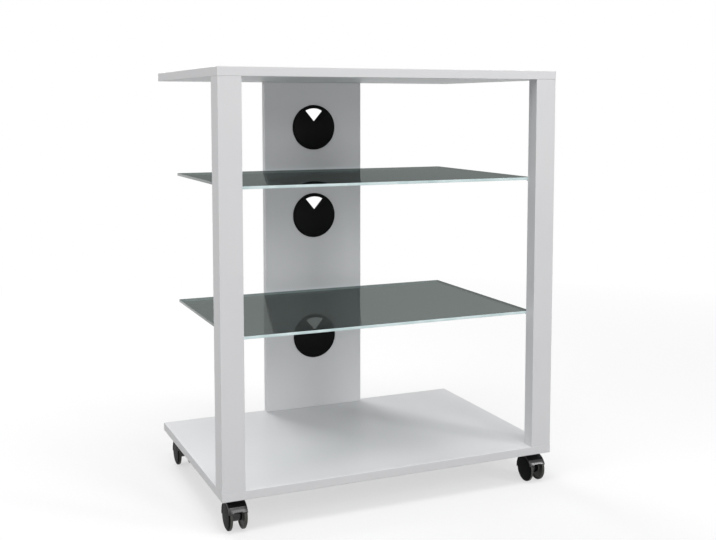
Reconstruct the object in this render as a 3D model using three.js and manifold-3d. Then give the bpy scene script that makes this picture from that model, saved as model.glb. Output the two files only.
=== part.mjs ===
// Rolling audio rack: a white base board and top board, two rebated front posts, one rear panel
// with three cable grommets, two glass shelves and four twin-wheel swivel casters.
// Millimetres, +Z up, front towards -Y, origin on the floor at the middle of the footprint.

import * as THREE from 'three';
import { mergeVertices } from 'three/addons/utils/BufferGeometryUtils.js';
import Module from 'manifold-3d';

const wasm = await Module();
wasm.setup();

// Frame: boards, posts and rear panel
const rackWidth = 650;
const rackDepth = 432;
const boardThickness = 16;
const panelWidth = 216;
const panelThickness = 16;
const edgeRadius = 1;
const postWall = 27;
const rebateWidth = 14;
const rebateDepth = 13;

// Glass shelves and the clear heights of the three bays
const glassThickness = 5;
const glassArris = 0.5;
const glassSideClearance = 1.6;
const glassFrontGap = 1;
const glassRearClearance = 4.6;
const lowerBayHeight = 253;
const middleBayHeight = 251;
const topBayHeight = 183;

// Shelf supports: a steel pin with a tongue that reaches under the glass
const supportPinRadius = 2.5;
const supportPinLength = 9;
const supportCollarRadius = 4.5;
const supportCollarThickness = 1.4;
const supportTongueWidth = 8;
const supportTongueThickness = 2;
const supportRibDepth = 2.5;
const supportRibThickness = 2;
const supportBearing = 8;
const supportPinInset = 28;
const supportSeatGap = 0.3;

// Cable grommets: a flanged sleeve with a turning cap that has a wedge opening
const grommetFlangeRadius = 47;
const grommetFlangeProud = 3;
const grommetFlangeRound = 1;
const grommetSeatRadius = 44;
const grommetSeatDepth = 2;
const grommetTubeRadius = 43.4;
const grommetTubeWall = 1.6;
const grommetTubeLength = 14;
const grommetHoleClearance = 0.3;
const upperGrommetDrop = 94;
const middleGrommetDrop = 92.5;
const lowerGrommetDrop = 97;
const capRunningGap = 0.3;
const capSkirtWall = 1.2;
const capSkirtLength = 6;
const wedgeTip = 13;
const wedgeReach = 40;
const wedgeHalfAngle = 40;

// Casters: threaded stem, hooded swivel body, axle and two wheels
const casterHeight = 57;
const casterSideInset = 28;
const casterEndInset = 36.5;
const casterTrail = 14.5;
const wheelRadius = 25;
const wheelWidth = 7;
const wheelRimRound = 1.2;
const wheelDish = 1.8;
const wheelDishInner = 11;
const wheelDishOuter = 21;
const wheelDome = 0.6;
const casterWidth = 34;
const wheelSideGap = 0.4;
const hoodGap = 0.8;
const hoodWall = 1;
const hoodFrontAngle = 24;
const hoodNotchAngle = 6;
const hoodRearAngle = 188;
const webThickness = 10;
const hubRadius = 9;
const axleRadius = 2.5;
const axleEndGap = 0.3;
const wheelCapThickness = 2;
const runningGap = 0.1;
const bossRadius = 8;
const stemRadius = 4;
const stemThreadLength = 11;
const stemChamfer = 1;
const stemCollarRadius = 9;
const stemCollarThickness = 2.4;
const stemNeckLength = 20;
const stemPocket = 1;
const swivelGap = 0.4;
const insertWall = 1.4;
const insertLength = 12;
const insertFlangeRadius = 7;
const insertFlangeThickness = 1;

// Joinery: dowels, cam fittings and long chipboard screws
const dowelRadius = 4;
const dowelLength = 30;
const dowelBoardDepth = 11;
const dowelRounding = 0.8;
const holeEndGap = 0.8;
const pieceGap = 0.3;
const screwHeadRadius = 5;
const screwHeadHeight = 3;
const screwHeadRecess = 0.3;
const screwShankRadius = 3.5;
const screwThreadRadius = 2.6;
const screwLength = 50;
const camRadius = 7.2;
const camDepth = 11.5;
const camFaceRecess = 0.3;
const camCentreDrop = 24;
const camCentreInset = 8;
const camSlotRadius = 3.8;
const camBoltThreadRadius = 3;
const camBoltThreadLength = 10;
const camBoltCollarRadius = 3.5;
const camBoltCollarLength = 2;
const camBoltShaftRadius = 2.5;
const camBoltNeckRadius = 1.7;
const camBoltHeadRadius = 3;
const camBoltHeadLength = 3;
const camBoltNeckLength = 3;
const panelFixingInset = 33;

// How finely round pieces are cut into flats, and how far a cut runs past the face it opens
const roundSides = 10;
const wheelSides = 20;
const hoodSides = 32;
const grommetSides = 32;
const cornerSteps = 3;
const edgeSteps = 2;
const cutOverrun = 1;

// Places that follow from the sizes above
const hoodInnerRadius = wheelRadius + hoodGap;
const hoodOuterRadius = hoodInnerRadius + hoodWall;
const hoodFrontReach = hoodOuterRadius * Math.cos(THREE.MathUtils.degToRad(hoodFrontAngle));
const casterReach = casterTrail + Math.max(wheelRadius, hoodFrontReach);
const frontOverhang = Math.max(0, casterReach - casterEndInset);
const frontY = frontOverhang - (rackDepth + frontOverhang) / 2;
const rearY = frontY + rackDepth;
const baseUnderside = casterHeight;
const baseTop = baseUnderside + boardThickness;
const lowerGlassUnderside = baseTop + lowerBayHeight;
const upperGlassUnderside = lowerGlassUnderside + glassThickness + middleBayHeight;
const glassUndersides = { lower: lowerGlassUnderside, upper: upperGlassUnderside };
const topUnderside = upperGlassUnderside + glassThickness + topBayHeight;
const postWidth = postWall + rebateWidth;
const postDepth = postWall + rebateDepth;
const postHeight = topUnderside - baseTop;
const panelFrontY = rearY - panelThickness;
const panelMidY = rearY - panelThickness / 2;
const panelFixingX = panelWidth / 2 - panelFixingInset;
const glassSideGap = supportCollarThickness + glassSideClearance;
const glassRearGap = supportCollarThickness + glassRearClearance;
const postPinY = frontY + postWall + rebateDepth / 2;
const supportPinDrop = supportTongueThickness / 2 + supportSeatGap;
const grommetHoleRadius = grommetTubeRadius + grommetHoleClearance;
const axleHeight = wheelRadius - casterHeight;
const wheelInnerX = casterWidth / 2 - wheelWidth;
const dowelHoleRadius = dowelRadius + pieceGap;
const dowelPostDepth = dowelLength - dowelBoardDepth;
const grommetHeights = {
  upper: topUnderside - upperGrommetDrop,
  middle: upperGlassUnderside - middleGrommetDrop,
  lower: lowerGlassUnderside - lowerGrommetDrop,
};
const sides = { left: -1, right: 1 };

// Points of a post's plan where its fixings sit, measured from its outer front corner
const screwSpot = { across: postWall / 2, back: postWall / 2 };
const dowelSpot = { across: postWall + rebateWidth / 3, back: postWall / 2 };
const camSpot = { across: postWall / 2, back: postDepth - camCentreInset };

// Finishes
function finish(color, roughness, metalness = 0) {
  return new THREE.MeshStandardMaterial({ color, roughness, metalness });
}
const whiteFoil = finish('#dcdcde', 0.45);
const clearGlass = finish('#b9cfc8', 0.05);
clearGlass.transparent = true;
clearGlass.opacity = 0.4;
const blackPlastic = finish('#161617', 0.4);
const glossyHood = finish('#2b2c2f', 0.2);
const wheelPlastic = finish('#232426', 0.45);
const zincSteel = finish('#b4b7ba', 0.35, 1);
const beech = finish('#c8a271', 0.7);
const castZinc = finish('#9b9ea1', 0.4, 1);

// Turns a closed three.js geometry into a solid that can be cut and joined
function solidOf(geometry) {
  const bare = geometry.clone();
  bare.deleteAttribute('normal');
  bare.deleteAttribute('uv');
  const merged = mergeVertices(bare);
  const kept = [];
  const index = merged.index.array;
  for (let i = 0; i < index.length; i += 3) {
    const [a, b, c] = [index[i], index[i + 1], index[i + 2]];
    if (a !== b && b !== c && c !== a) kept.push(a, b, c);
  }
  const mesh = new wasm.Mesh({
    numProp: 3,
    vertProperties: new Float32Array(merged.attributes.position.array),
    triVerts: new Uint32Array(kept),
  });
  mesh.merge();
  return new wasm.Manifold(mesh);
}

// Turns a finished solid back into geometry for a named mesh
function pieceOf(name, solid, material) {
  const mesh = solid.getMesh();
  const geometry = new THREE.BufferGeometry();
  geometry.setAttribute('position', new THREE.BufferAttribute(mesh.vertProperties, 3));
  geometry.setIndex(new THREE.BufferAttribute(mesh.triVerts, 1));
  geometry.computeVertexNormals();
  const piece = new THREE.Mesh(geometry, material);
  piece.name = name;
  return piece;
}

// A flat block with softened edges: middle of its underside at the origin
function softBlock(width, depth, height, softening) {
  const halfWidth = width / 2 - softening;
  const halfDepth = depth / 2 - softening;
  const outline = new THREE.Shape();
  outline.moveTo(-halfWidth, -halfDepth);
  outline.lineTo(halfWidth, -halfDepth);
  outline.lineTo(halfWidth, halfDepth);
  outline.lineTo(-halfWidth, halfDepth);
  outline.closePath();
  const geometry = new THREE.ExtrudeGeometry(outline, {
    depth: height - 2 * softening,
    bevelEnabled: true,
    bevelThickness: softening,
    bevelSize: softening,
    bevelSegments: edgeSteps,
  });
  geometry.translate(0, 0, softening);
  return solidOf(geometry);
}

// A plain block, given by two opposite corners
function block(low, high) {
  const [width, depth, height] = high.map((value, i) => value - low[i]);
  const geometry = new THREE.BoxGeometry(width, depth, height);
  geometry.translate(low[0] + width / 2, low[1] + depth / 2, low[2] + height / 2);
  return solidOf(geometry);
}

// Corner radius of a many-sided hole whose flats lie at the given radius, so round pieces clear it
function holeRadius(radius, count = roundSides) {
  return radius / Math.cos(Math.PI / count);
}

// A round bar along Z, X or Y, from its start to its end on that axis
function bar(radius, start, end, axis = 'z', count = roundSides) {
  const geometry = new THREE.CylinderGeometry(radius, radius, end - start, count);
  geometry.translate(0, (start + end) / 2, 0);
  if (axis === 'z') geometry.rotateX(Math.PI / 2);
  if (axis === 'x') geometry.rotateZ(-Math.PI / 2);
  return solidOf(geometry);
}

// The space that a round hole takes out of its piece, from its start to its end on an axis
function hole(radius, start, end, axis = 'z', count = roundSides) {
  return bar(holeRadius(radius, count), start, end, axis, count);
}

// A turned piece about Z from [radius, height] points; the profile ends on the axis or closes
function turned(points, count = roundSides) {
  const profile = points.map(([radius, height]) => new THREE.Vector2(radius, height));
  const geometry = new THREE.LatheGeometry(profile, count);
  geometry.rotateX(Math.PI / 2);
  return solidOf(geometry);
}

// The base and the top board start as the same undrilled board
function boardSolid() {
  return softBlock(rackWidth, rackDepth, boardThickness, edgeRadius).translate(0, frontY + rackDepth / 2, 0);
}

// Where a point of a post's plan lies on the rack
function postPoint(side, spot) {
  return [side * (rackWidth / 2 - spot.across), frontY + spot.back];
}

function casterPoints() {
  const points = [];
  for (const [end, y] of [['front', frontY + casterEndInset], ['rear', rearY - casterEndInset]]) {
    for (const [side, sign] of Object.entries(sides)) {
      points.push({ place: `${end}_${side}`, x: sign * (rackWidth / 2 - casterSideInset), y });
    }
  }
  return points;
}

function boardScrewHole(length) {
  const mouth = holeRadius(screwHeadRadius + pieceGap);
  const shank = holeRadius(screwShankRadius + pieceGap);
  const thread = holeRadius(screwThreadRadius + pieceGap);
  const shankEnd = boardThickness + cutOverrun;
  const headEnd = screwHeadHeight + pieceGap;
  return turned([
    [0, -cutOverrun], [mouth, -cutOverrun], [mouth, screwHeadRecess], [shank, headEnd],
    [shank, shankEnd], [thread, shankEnd], [thread, length], [0, length],
  ]);
}

function makeBaseBoard() {
  let board = boardSolid();
  const stemHole = hole(stemRadius + insertWall + pieceGap, -cutOverrun, insertLength + holeEndGap);
  const flangeHole = hole(insertFlangeRadius + pieceGap, -cutOverrun, insertFlangeThickness + pieceGap);
  for (const { x, y } of casterPoints()) {
    board = board.subtract(stemHole.translate(x, y, 0)).subtract(flangeHole.translate(x, y, 0));
  }
  const dowelEnd = boardThickness - dowelBoardDepth - holeEndGap;
  const dowelHole = hole(dowelHoleRadius, dowelEnd, boardThickness + cutOverrun);
  for (const sign of Object.values(sides)) {
    board = board.subtract(boardScrewHole(screwLength).translate(...postPoint(sign, screwSpot), 0));
    board = board.subtract(dowelHole.translate(...postPoint(sign, dowelSpot), 0));
    board = board.subtract(boardScrewHole(screwLength).translate(sign * panelFixingX, panelMidY, 0));
  }
  return pieceOf('base_board', board.translate(0, 0, baseUnderside), whiteFoil);
}

function makeTopBoard() {
  let board = boardSolid();
  const dowelHole = hole(dowelHoleRadius, -cutOverrun, dowelBoardDepth + holeEndGap);
  const boltHole = hole(camBoltThreadRadius + pieceGap, -cutOverrun, camBoltThreadLength + holeEndGap);
  for (const sign of Object.values(sides)) {
    board = board.subtract(dowelHole.translate(...postPoint(sign, dowelSpot), 0));
    board = board.subtract(boltHole.translate(...postPoint(sign, camSpot), 0));
    board = board.subtract(dowelHole.translate(sign * panelFixingX, panelMidY, 0));
  }
  return pieceOf('top_board', board.translate(0, 0, topUnderside), whiteFoil);
}

// Outline of a post: a square section with a rebate in its inner rear corner for the glass
function postOutline(side) {
  const corners = [
    [0, 0], [postWidth, 0], [postWidth, postWall],
    [postWall, postWall], [postWall, postDepth], [0, postDepth],
  ];
  const outline = new THREE.Shape();
  corners.forEach(([x, y], i) => {
    const [beforeX, beforeY] = corners[(i + corners.length - 1) % corners.length];
    const [afterX, afterY] = corners[(i + 1) % corners.length];
    const into = [Math.sign(beforeX - x) * edgeRadius, Math.sign(beforeY - y) * edgeRadius];
    const outOf = [Math.sign(afterX - x) * edgeRadius, Math.sign(afterY - y) * edgeRadius];
    const inward = x === postWall && y === postWall;
    if (inward) {
      outline.lineTo(-side * x, y);
      return;
    }
    const start = [-side * (x + into[0]), y + into[1]];
    if (i === 0) outline.moveTo(...start);
    else outline.lineTo(...start);
    outline.quadraticCurveTo(-side * x, y, -side * (x + outOf[0]), y + outOf[1]);
  });
  outline.closePath();
  return outline;
}

function makePost(sideName) {
  const side = sides[sideName];
  const geometry = new THREE.ExtrudeGeometry(postOutline(side), {
    depth: postHeight, bevelEnabled: false, curveSegments: cornerSteps,
  });
  let post = solidOf(geometry).translate(side * rackWidth / 2, frontY, baseTop);
  const screwEnd = baseUnderside + screwLength + holeEndGap;
  const lowerDowelEnd = baseTop + dowelPostDepth + holeEndGap;
  const upperDowelEnd = topUnderside - dowelPostDepth - holeEndGap;
  const camHeight = topUnderside - camCentreDrop;
  const boltBore = camBoltCollarRadius + pieceGap;
  const [camX, camY] = postPoint(side, camSpot);
  const screwHole = hole(screwThreadRadius + pieceGap, baseTop - cutOverrun, screwEnd);
  const camHole = hole(camRadius + pieceGap, -camDepth - holeEndGap, cutOverrun, 'y');
  const dowelPlace = [...postPoint(side, dowelSpot), 0];
  const cuts = [
    screwHole.translate(...postPoint(side, screwSpot), 0),
    hole(dowelHoleRadius, baseTop - cutOverrun, lowerDowelEnd).translate(...dowelPlace),
    hole(dowelHoleRadius, upperDowelEnd, topUnderside + cutOverrun).translate(...dowelPlace),
    hole(boltBore, camHeight, topUnderside + cutOverrun).translate(camX, camY, 0),
    camHole.translate(camX, frontY + postDepth, camHeight),
  ];
  for (const underside of Object.values(glassUndersides)) {
    const pinHeight = underside - supportPinDrop;
    const pinHole = hole(supportPinRadius + pieceGap, -supportPinLength - holeEndGap, cutOverrun, 'x');
    const facing = side < 0 ? pinHole : pinHole.mirror([1, 0, 0]);
    cuts.push(facing.translate(side * (rackWidth / 2 - postWall), postPinY, pinHeight));
  }
  for (const cut of cuts) post = post.subtract(cut);
  return pieceOf(`${sideName}_post`, post, whiteFoil);
}

function makeRearPanel() {
  let panel = softBlock(panelWidth, panelThickness, postHeight, edgeRadius).translate(0, panelMidY, baseTop);
  for (const height of Object.values(grommetHeights)) {
    const grommetHole = hole(grommetHoleRadius, -cutOverrun, panelThickness + cutOverrun, 'y', grommetSides);
    panel = panel.subtract(grommetHole.translate(0, panelFrontY, height));
  }
  const screwEnd = baseUnderside + screwLength + holeEndGap;
  const threadHole = hole(screwThreadRadius + pieceGap, baseTop - cutOverrun, screwEnd);
  const dowelEnd = topUnderside - dowelPostDepth - holeEndGap;
  const dowelHole = hole(dowelHoleRadius, dowelEnd, topUnderside + cutOverrun);
  const pinHole = hole(supportPinRadius + pieceGap, -cutOverrun, supportPinLength + holeEndGap, 'y');
  for (const sign of Object.values(sides)) {
    panel = panel.subtract(threadHole.translate(sign * panelFixingX, panelMidY, 0));
    panel = panel.subtract(dowelHole.translate(sign * panelFixingX, panelMidY, 0));
    for (const underside of Object.values(glassUndersides)) {
      const pinX = sign * (panelWidth / 2 - supportPinInset);
      panel = panel.subtract(pinHole.translate(pinX, panelFrontY, underside - supportPinDrop));
    }
  }
  return pieceOf('rear_panel', panel, whiteFoil);
}

function makeGlassShelf(level) {
  const width = rackWidth - 2 * (postWall + glassSideGap);
  const front = frontY + postWall + glassFrontGap;
  const rear = panelFrontY - glassRearGap;
  const glass = softBlock(width, rear - front, glassThickness, glassArris);
  const placed = glass.translate(0, (front + rear) / 2, glassUndersides[level]);
  return pieceOf(`${level}_glass_shelf`, placed, clearGlass);
}

// A support pin along X: its collar stands on the wall at X = 0 and its tongue reaches to +X
function supportSolid(reach) {
  const halfTongue = supportTongueThickness / 2;
  const halfWidth = supportTongueWidth / 2;
  const pin = bar(supportPinRadius, -supportPinLength, supportCollarThickness, 'x');
  const collar = bar(supportCollarRadius, 0, supportCollarThickness, 'x');
  const tongue = block([0, -halfWidth, -halfTongue], [reach, halfWidth, halfTongue]);
  const rib = block(
    [0, -supportRibThickness / 2, -halfTongue - supportRibDepth],
    [reach / 2, supportRibThickness / 2, 0],
  );
  return pin.add(collar).add(tongue).add(rib);
}

function makeShelfSupports() {
  const pieces = [];
  const pinX = panelWidth / 2 - supportPinInset;
  for (const [level, underside] of Object.entries(glassUndersides)) {
    const height = underside - supportPinDrop;
    for (const [sideName, side] of Object.entries(sides)) {
      const wallX = side * (rackWidth / 2 - postWall);
      const postSupport = supportSolid(glassSideGap + supportBearing);
      const turnedIn = side < 0 ? postSupport : postSupport.rotate([0, 0, 180]);
      const atPost = turnedIn.translate(wallX, postPinY, height);
      pieces.push(pieceOf(`${level}_shelf_support_front_${sideName}`, atPost, zincSteel));
      const panelSupport = supportSolid(glassRearGap + supportBearing).rotate([0, 0, -90]);
      const atPanel = panelSupport.translate(side * pinX, panelFrontY, height);
      pieces.push(pieceOf(`${level}_shelf_support_rear_${sideName}`, atPanel, zincSteel));
    }
  }
  return pieces;
}

// Grommet sleeve, turned about Z and then laid along Y with its flange towards the front
function makeGrommetSleeve(level, height) {
  const tubeInner = holeRadius(grommetTubeRadius - grommetTubeWall, grommetSides);
  const seatWall = holeRadius(grommetSeatRadius, grommetSides);
  const seatFloor = grommetFlangeProud - grommetSeatDepth;
  const profile = [
    [tubeInner, -grommetTubeLength],
    [grommetTubeRadius, -grommetTubeLength],
    [grommetTubeRadius, 0],
    [grommetFlangeRadius, 0],
    [grommetFlangeRadius, grommetFlangeProud - grommetFlangeRound],
    [grommetFlangeRadius - grommetFlangeRound, grommetFlangeProud],
    [seatWall, grommetFlangeProud],
    [seatWall, seatFloor],
    [tubeInner, seatFloor],
    [tubeInner, -grommetTubeLength],
  ];
  const sleeve = turned(profile, grommetSides).rotate([90, 0, 0]).translate(0, panelFrontY, height);
  return pieceOf(`${level}_grommet_sleeve`, sleeve, blackPlastic);
}

// Wedge that is cut out of a cap: two straight sides from the tip and an arc round the middle
function wedgeCutter(depth) {
  const halfAngle = THREE.MathUtils.degToRad(wedgeHalfAngle);
  const tipShare = wedgeTip / wedgeReach;
  const arcHalf = halfAngle - Math.asin(tipShare * Math.sin(halfAngle));
  const outline = new THREE.Shape();
  outline.absarc(0, 0, wedgeReach, Math.PI / 2 - arcHalf, Math.PI / 2 + arcHalf, false);
  outline.lineTo(0, wedgeTip);
  outline.closePath();
  const geometry = new THREE.ExtrudeGeometry(outline, {
    depth, bevelEnabled: false, curveSegments: grommetSides / 4,
  });
  geometry.translate(0, 0, -depth / 2);
  return solidOf(geometry);
}

function makeGrommetCap(level, height) {
  const capRadius = grommetSeatRadius - capRunningGap;
  const capBack = grommetFlangeProud - grommetSeatDepth + capRunningGap;
  const skirtOuter = grommetTubeRadius - grommetTubeWall - capRunningGap;
  const skirtInner = skirtOuter - capSkirtWall;
  const profile = [
    [0, capBack],
    [skirtInner, capBack],
    [skirtInner, capBack - capSkirtLength],
    [skirtOuter, capBack - capSkirtLength],
    [skirtOuter, capBack],
    [capRadius, capBack],
    [capRadius, grommetFlangeProud],
    [0, grommetFlangeProud],
  ];
  const disc = turned(profile, grommetSides);
  const wedge = wedgeCutter(2 * (capSkirtLength + grommetFlangeProud + cutOverrun));
  const cap = disc.subtract(wedge).rotate([90, 0, 0]).translate(0, panelFrontY, height);
  return pieceOf(`${level}_grommet_cap`, cap, blackPlastic);
}

// A sector about the axle, along X, between two angles counted up from the front
function sectorSolid(innerRadius, outerRadius, fromAngle, toAngle, width) {
  const start = THREE.MathUtils.degToRad(fromAngle);
  const end = THREE.MathUtils.degToRad(toAngle);
  const outline = new THREE.Shape();
  outline.absarc(0, 0, outerRadius, start, end, false);
  if (innerRadius > 0) outline.absarc(0, 0, innerRadius, end, start, true);
  else outline.lineTo(0, 0);
  outline.closePath();
  const geometry = new THREE.ExtrudeGeometry(outline, {
    depth: width, bevelEnabled: false, curveSegments: hoodSides / 2,
  });
  geometry.translate(0, 0, -width / 2);
  geometry.rotateX(Math.PI / 2);
  geometry.rotateZ(-Math.PI / 2);
  return solidOf(geometry).translate(0, -casterTrail, axleHeight);
}

// Swivel body: arched hood over both wheels, notched between them, with web, axle hub and stem boss
function makeCasterHood(place) {
  const arch = sectorSolid(hoodInnerRadius, hoodOuterRadius, hoodFrontAngle, hoodRearAngle, casterWidth);
  const notchTop = hoodFrontAngle + hoodNotchAngle;
  const notch = sectorSolid(0, hoodOuterRadius + cutOverrun, 0, notchTop, 2 * wheelInnerX);
  const hood = arch.subtract(notch);
  const webRadius = hoodInnerRadius + hoodWall / 2;
  const web = sectorSolid(0, webRadius, notchTop, hoodRearAngle, webThickness);
  const hubHalf = wheelInnerX - wheelSideGap;
  const hub = bar(hubRadius, -hubHalf, hubHalf, 'x', wheelSides).translate(0, -casterTrail, axleHeight);
  const bossTop = -stemCollarThickness - swivelGap;
  const neckEnd = -stemCollarThickness - stemNeckLength;
  const boss = bar(bossRadius, axleHeight, bossTop, 'z', wheelSides);
  const stemBore = hole(stemRadius + runningGap, neckEnd - stemPocket, cutOverrun);
  const axleBore = hole(axleRadius + runningGap, -casterWidth, casterWidth, 'x');
  const axlePlace = [0, -casterTrail, axleHeight];
  const body = hood.add(web).add(hub).add(boss).subtract(stemBore).subtract(axleBore.translate(...axlePlace));
  return pieceOf(`caster_${place}_hood`, body, glossyHood);
}

// Threaded stem with the collar that bears on the board and the neck that the hood turns on
function makeCasterStem(place) {
  const neckEnd = -stemCollarThickness - stemNeckLength;
  const stem = turned([
    [0, neckEnd], [stemRadius - stemChamfer / 2, neckEnd], [stemRadius, neckEnd + stemChamfer],
    [stemRadius, -stemCollarThickness], [stemCollarRadius, -stemCollarThickness],
    [stemCollarRadius, 0], [stemRadius, 0], [stemRadius, stemThreadLength - stemChamfer],
    [stemRadius - stemChamfer, stemThreadLength], [0, stemThreadLength],
  ]);
  return pieceOf(`caster_${place}_stem`, stem, zincSteel);
}

function makeCasterInsert(place) {
  const inner = holeRadius(stemRadius + pieceGap);
  const outer = stemRadius + insertWall;
  const insert = turned([
    [inner, pieceGap], [insertFlangeRadius, pieceGap], [insertFlangeRadius, insertFlangeThickness],
    [outer, insertFlangeThickness], [outer, insertLength], [inner, insertLength], [inner, pieceGap],
  ]);
  return pieceOf(`caster_${place}_insert`, insert, castZinc);
}

function makeCasterAxle(place) {
  const half = casterWidth / 2 - wheelCapThickness - axleEndGap;
  const axle = bar(axleRadius, -half, half, 'x').translate(0, -casterTrail, axleHeight);
  return pieceOf(`caster_${place}_axle`, axle, zincSteel);
}

// Wheel, turned about Z with its outer face up: a flat of the rim is set to stand on the floor
function makeCasterWheel(place, sideName) {
  const side = sides[sideName];
  const cornerRadius = holeRadius(wheelRadius, wheelSides);
  const outerFace = casterWidth / 2;
  const innerFace = wheelInnerX;
  const bore = holeRadius(axleRadius + runningGap, wheelSides);
  const profile = [
    [0, outerFace - wheelCapThickness],
    [bore, outerFace - wheelCapThickness],
    [bore, innerFace],
    [hubRadius, innerFace],
    [wheelDishInner, innerFace + wheelDish],
    [wheelDishOuter, innerFace + wheelDish],
    [wheelDishOuter + wheelDish, innerFace],
    [cornerRadius - wheelRimRound, innerFace],
    [cornerRadius, innerFace + wheelRimRound],
    [cornerRadius, outerFace - wheelRimRound],
    [cornerRadius - wheelRimRound, outerFace - wheelDome],
    [0, outerFace],
  ];
  const halfStep = 180 / wheelSides;
  const wheel = turned(profile, wheelSides).rotate([0, 0, halfStep]).rotate([0, side * 90, 0]);
  const placed = wheel.translate(0, -casterTrail, axleHeight);
  return pieceOf(`caster_${place}_wheel_${sideName}`, placed, wheelPlastic);
}

function makeCaster({ place, x, y }) {
  const caster = new THREE.Group();
  caster.add(makeCasterInsert(place));
  caster.add(makeCasterStem(place));
  caster.add(makeCasterHood(place));
  caster.add(makeCasterAxle(place));
  for (const sideName of Object.keys(sides)) caster.add(makeCasterWheel(place, sideName));
  caster.position.set(x, y, baseUnderside);
  return caster;
}

function makeDowel(name, x, y, bottom) {
  const dowel = turned([
    [0, 0], [dowelRadius - dowelRounding, 0], [dowelRadius, dowelRounding],
    [dowelRadius, dowelLength - dowelRounding], [dowelRadius - dowelRounding, dowelLength], [0, dowelLength],
  ]);
  return pieceOf(name, dowel.translate(x, y, bottom), beech);
}

function makeScrew(name, x, y) {
  const shankEnd = boardThickness;
  const screw = turned([
    [0, screwHeadRecess], [screwHeadRadius, screwHeadRecess],
    [screwShankRadius, screwHeadHeight + screwHeadRecess],
    [screwShankRadius, shankEnd], [screwThreadRadius, shankEnd],
    [screwThreadRadius, screwLength - screwThreadRadius], [0, screwLength],
  ]);
  return pieceOf(name, screw.translate(x, y, baseUnderside), zincSteel);
}

// Cam bolt: threaded end in the top board, collar under it, neck and head inside the cam
function makeCamBolt(sideName) {
  const headTop = -camCentreDrop + camBoltHeadLength / 2;
  const bolt = turned([
    [0, headTop - camBoltHeadLength], [camBoltHeadRadius, headTop - camBoltHeadLength],
    [camBoltHeadRadius, headTop], [camBoltNeckRadius, headTop],
    [camBoltNeckRadius, headTop + camBoltNeckLength],
    [camBoltShaftRadius, headTop + camBoltNeckLength], [camBoltShaftRadius, -camBoltCollarLength],
    [camBoltCollarRadius, -camBoltCollarLength], [camBoltCollarRadius, 0], [camBoltThreadRadius, 0],
    [camBoltThreadRadius, camBoltThreadLength], [0, camBoltThreadLength],
  ]);
  const [x, y] = postPoint(sides[sideName], camSpot);
  return pieceOf(`${sideName}_post_cam_bolt`, bolt.translate(x, y, topUnderside), zincSteel);
}

// Cam: a round housing set into the back of the post, slotted from above for the bolt's head
function makeCam(sideName) {
  const housing = bar(camRadius, -camDepth, -camFaceRecess, 'y', wheelSides);
  const pocket = hole(camSlotRadius, -camBoltHeadLength, camRadius + cutOverrun);
  const cam = housing.subtract(pocket.translate(0, -camCentreInset, 0));
  const [x, y] = postPoint(sides[sideName], camSpot);
  const placed = cam.translate(x, y + camCentreInset, topUnderside - camCentreDrop);
  return pieceOf(`${sideName}_post_cam`, placed, castZinc);
}

function makeJoinery() {
  const pieces = [];
  for (const [sideName, side] of Object.entries(sides)) {
    const [dowelX, dowelY] = postPoint(side, dowelSpot);
    const panelX = side * panelFixingX;
    const lowerDowel = baseTop - dowelBoardDepth;
    const upperDowel = topUnderside - dowelPostDepth;
    pieces.push(makeDowel(`${sideName}_post_lower_dowel`, dowelX, dowelY, lowerDowel));
    pieces.push(makeDowel(`${sideName}_post_upper_dowel`, dowelX, dowelY, upperDowel));
    pieces.push(makeScrew(`${sideName}_post_screw`, ...postPoint(side, screwSpot)));
    pieces.push(makeCamBolt(sideName), makeCam(sideName));
    pieces.push(makeDowel(`rear_panel_dowel_${sideName}`, panelX, panelMidY, upperDowel));
    pieces.push(makeScrew(`rear_panel_screw_${sideName}`, panelX, panelMidY));
  }
  return pieces;
}

const rack = new THREE.Group();
rack.add(makeBaseBoard(), makeTopBoard(), makePost('left'), makePost('right'), makeRearPanel());
rack.add(makeGlassShelf('lower'), makeGlassShelf('upper'), ...makeShelfSupports());
for (const [level, height] of Object.entries(grommetHeights)) {
  rack.add(makeGrommetSleeve(level, height), makeGrommetCap(level, height));
}
for (const point of casterPoints()) rack.add(makeCaster(point));
rack.add(...makeJoinery());

export default rack;
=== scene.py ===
import math

import bmesh
import bpy
from mathutils import Matrix, Vector


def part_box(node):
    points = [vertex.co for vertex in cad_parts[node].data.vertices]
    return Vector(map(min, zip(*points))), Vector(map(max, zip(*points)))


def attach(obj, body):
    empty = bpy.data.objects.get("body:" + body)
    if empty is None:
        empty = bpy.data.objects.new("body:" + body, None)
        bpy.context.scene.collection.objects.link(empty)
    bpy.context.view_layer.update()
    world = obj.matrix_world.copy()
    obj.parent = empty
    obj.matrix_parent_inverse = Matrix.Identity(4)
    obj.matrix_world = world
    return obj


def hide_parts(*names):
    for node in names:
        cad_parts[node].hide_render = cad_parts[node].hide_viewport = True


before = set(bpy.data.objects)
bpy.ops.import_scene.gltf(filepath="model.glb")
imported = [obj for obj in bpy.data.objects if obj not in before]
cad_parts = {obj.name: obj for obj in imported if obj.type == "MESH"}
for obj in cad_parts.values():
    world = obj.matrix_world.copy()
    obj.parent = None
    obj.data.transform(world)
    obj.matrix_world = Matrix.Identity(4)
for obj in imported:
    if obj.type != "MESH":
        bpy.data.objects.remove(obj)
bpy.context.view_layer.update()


# Base board and top board.
# Two chipboards 16 mm thick, wrapped in white melamine foil on the faces and the softened edges.
# They are pressed, cut and drilled in the flat, and the posts and the panel are screwed between them.
MM = 0.001
FOIL_WHITE = "#e3e3e4"
FOIL_SHADE = "#dddde0"
FOIL_CLOUD_MM = 160
FOIL_PEARL_MM = 2.4


def linear(colour):
    """An sRGB hex colour as the linear RGBA that a socket takes."""
    channels = [int(colour[i:i + 2], 16) / 255 for i in (1, 3, 5)]
    return [c / 12.92 if c <= 0.04045 else ((c + 0.055) / 1.055) ** 2.4 for c in channels] + [1.0]


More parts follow.
